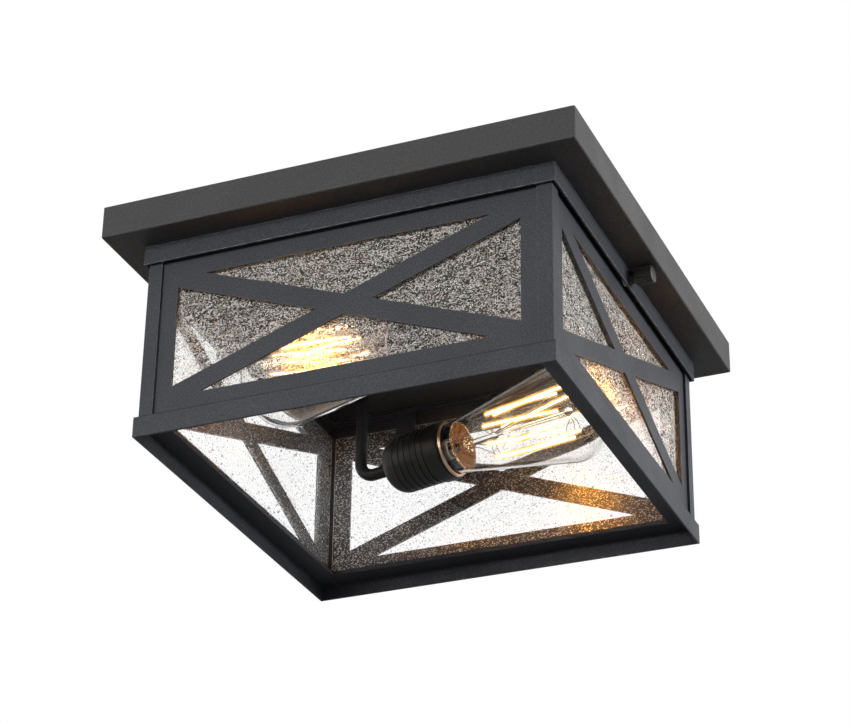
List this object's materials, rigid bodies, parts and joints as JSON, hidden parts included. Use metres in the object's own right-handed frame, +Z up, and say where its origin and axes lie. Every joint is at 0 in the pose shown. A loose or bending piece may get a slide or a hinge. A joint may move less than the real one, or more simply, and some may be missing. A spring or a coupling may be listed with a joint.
{
  "type": "flush mount ceiling light",
  "caption": "Square flush-mount ceiling lantern: black pan, drop-down cage of crossed metal panels with seeded glass, and long clear lamps lying in sockets on bent arms.",
  "frame": {"origin": "middle of the ceiling plane, on top of the crossbar", "axes": "+Z up into the ceiling, -Y towards the side that faces the viewer, +X to the side with the visible thumbscrew"},
  "size_m": [0.3048, 0.3048, 0.1507],
  "materials": {
    "black_paint": "fine-textured satin black powder coat",
    "plain_steel": "zinc-plated, dull",
    "green_paint": "green earth screw",
    "black_plastic": "moulded, satin",
    "copper_rim": "bare copper-coloured rim",
    "brass": "plain",
    "solder": "soldered contact",
    "white_ceramic": "unglazed",
    "black_gloss": "glassy black insulator",
    "seeded_glass": "clear with small seeds and streaks",
    "clear_glass": "clear, faintly amber",
    "wire": "bare wire",
    "filament": "glowing strand"
  },
  "bodies": {
    "fixture": {"ceiling_pan": "black_paint", "neck_band": "black_paint", "band_rivets": "plain_steel", "crossbar": "plain_steel", "mounting_studs": "plain_steel", "cap_nuts": "black_paint", "ground_screw": "green_paint", "thumb_nuts": "plain_steel", "arm_locknuts": "plain_steel", "arm_collars": "black_paint", "arm_tube_rear": "black_paint", "socket_shell_rear": "black_plastic", "socket_rim_rear": "copper_rim", "screw_shell_rear": "brass", "socket_base_rear": "white_ceramic", "centre_contact_rear": "brass", "arm_tube_front": "black_paint", "socket_shell_front": "black_plastic", "socket_rim_front": "copper_rim", "screw_shell_front": "brass", "socket_base_front": "white_ceramic", "centre_contact_front": "brass"},
    "cage": {"cage_top_frame": "black_paint", "pane_clips": "black_paint", "crossed_panel_front": "black_paint", "glass_pane_front": "seeded_glass", "bottom_rail_front": "black_paint", "crossed_panel_right": "black_paint", "glass_pane_right": "seeded_glass", "bottom_rail_right": "black_paint", "crossed_panel_back": "black_paint", "glass_pane_back": "seeded_glass", "bottom_rail_back": "black_paint", "crossed_panel_left": "black_paint", "glass_pane_left": "seeded_glass", "bottom_rail_left": "black_paint", "corner_post_back_right": "black_paint", "corner_post_back_left": "black_paint", "corner_post_front_left": "black_paint", "corner_post_front_right": "black_paint"},
    "washer_right": {"thumb_washer_right": "black_paint"},
    "screw_right": {"thumbscrew_right": "black_paint"},
    "washer_left": {"thumb_washer_left": "black_paint"},
    "screw_left": {"thumbscrew_left": "black_paint"},
    "lamp_rear": {"lamp_cap_rear": "brass", "cap_insulator_rear": "black_gloss", "tip_contact_rear": "solder", "bulb_glass_rear": "clear_glass", "glass_stem_rear": "clear_glass", "support_wires_rear": "wire", "filament_rear": "filament"},
    "lamp_front": {"lamp_cap_front": "brass", "cap_insulator_front": "black_gloss", "tip_contact_front": "solder", "bulb_glass_front": "clear_glass", "glass_stem_front": "clear_glass", "support_wires_front": "wire", "filament_front": "filament"}
  },
  "joints": [
    {"name": "cage_drop", "type": "slide", "parent": "fixture", "child": "cage", "axis": [0, 0, -1], "range_m": [0, 0.13]},
    {"name": "thumb_right_travel", "type": "slide", "parent": "fixture", "child": "washer_right", "axis": [1, 0, 0], "range_m": [0, 0.0036]},
    {"name": "thumb_right_turn", "type": "hinge", "parent": "washer_right", "child": "screw_right", "pos_m": [0.1333, 0, -0.0278], "axis": [1, 0, 0], "range_deg": [0, 1800]},
    {"name": "thumb_left_travel", "type": "slide", "parent": "fixture", "child": "washer_left", "axis": [-1, 0, 0], "range_m": [0, 0.0036]},
    {"name": "thumb_left_turn", "type": "hinge", "parent": "washer_left", "child": "screw_left", "pos_m": [-0.1333, 0, -0.0278], "axis": [-1, 0, 0], "range_deg": [0, 1800]},
    {"name": "lamp_rear_unscrew", "type": "slide", "parent": "fixture", "child": "lamp_rear", "axis": [0.987, -0.1457, 0.068], "range_m": [0, 0.018]},
    {"name": "lamp_front_unscrew", "type": "slide", "parent": "fixture", "child": "lamp_front", "axis": [-0.987, 0.1457, 0.068], "range_m": [0, 0.018]}
  ],
  "couplings": [
    {"joint": "thumb_right_travel", "follows": "thumb_right_turn", "m_per_rad": 0.00011141},
    {"joint": "thumb_left_travel", "follows": "thumb_left_turn", "m_per_rad": 0.00011141}
  ]
}
